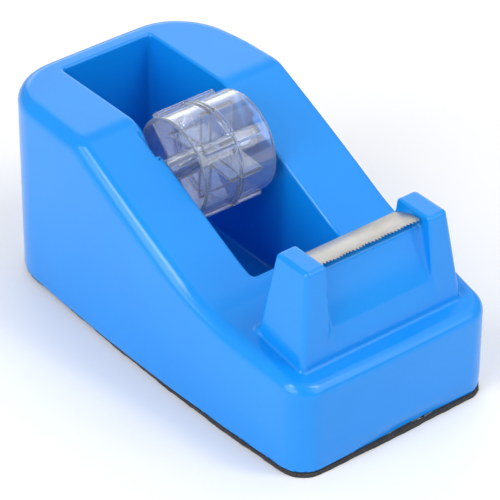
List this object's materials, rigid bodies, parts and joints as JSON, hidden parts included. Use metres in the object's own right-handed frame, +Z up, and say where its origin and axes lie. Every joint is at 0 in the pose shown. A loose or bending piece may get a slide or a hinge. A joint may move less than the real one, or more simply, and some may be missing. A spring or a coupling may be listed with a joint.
{
  "type": "tape dispenser",
  "caption": "Small weighted desk tape dispenser: plastic body with an open well, a clear spool that spins and lifts out, and a toothed steel cutter on a raised tower.",
  "frame": {"origin": "centre of the base, on the surface that the dispenser stands on", "axes": "+Z up, -Y towards the cutter end, +X to the right seen from the cutter end"},
  "size_m": [0.058, 0.1094, 0.0515],
  "materials": {
    "shell_plastic": "moulded blue plastic, soft gloss",
    "blade_steel": "bright rolled strip, faint brushing",
    "clear_plastic": "clear moulded polystyrene",
    "ballast": "cast cement",
    "plate_plastic": "matte",
    "adhesive": "tacky film",
    "pad_foam": "fine closed-cell foam"
  },
  "bodies": {
    "base": {"body_shell": "shell_plastic", "cutter_blade": "blade_steel", "ballast_block": "ballast", "base_plate": "plate_plastic", "pad_adhesive": "adhesive", "foam_pad": "pad_foam"},
    "axle": {"spool_axle": "clear_plastic"},
    "spool": {"spool_left_half": "clear_plastic", "spool_right_half": "clear_plastic"}
  },
  "joints": [
    {"name": "spool_lift_out", "type": "slide", "parent": "base", "child": "axle", "axis": [0, 0.6, 0.8], "range_m": [0, 0.036]},
    {"name": "spool_spin", "type": "hinge", "parent": "axle", "child": "spool", "pos_m": [0, 0.0111, 0.0392], "axis": [1, 0, 0], "continuous": true}
  ]
}
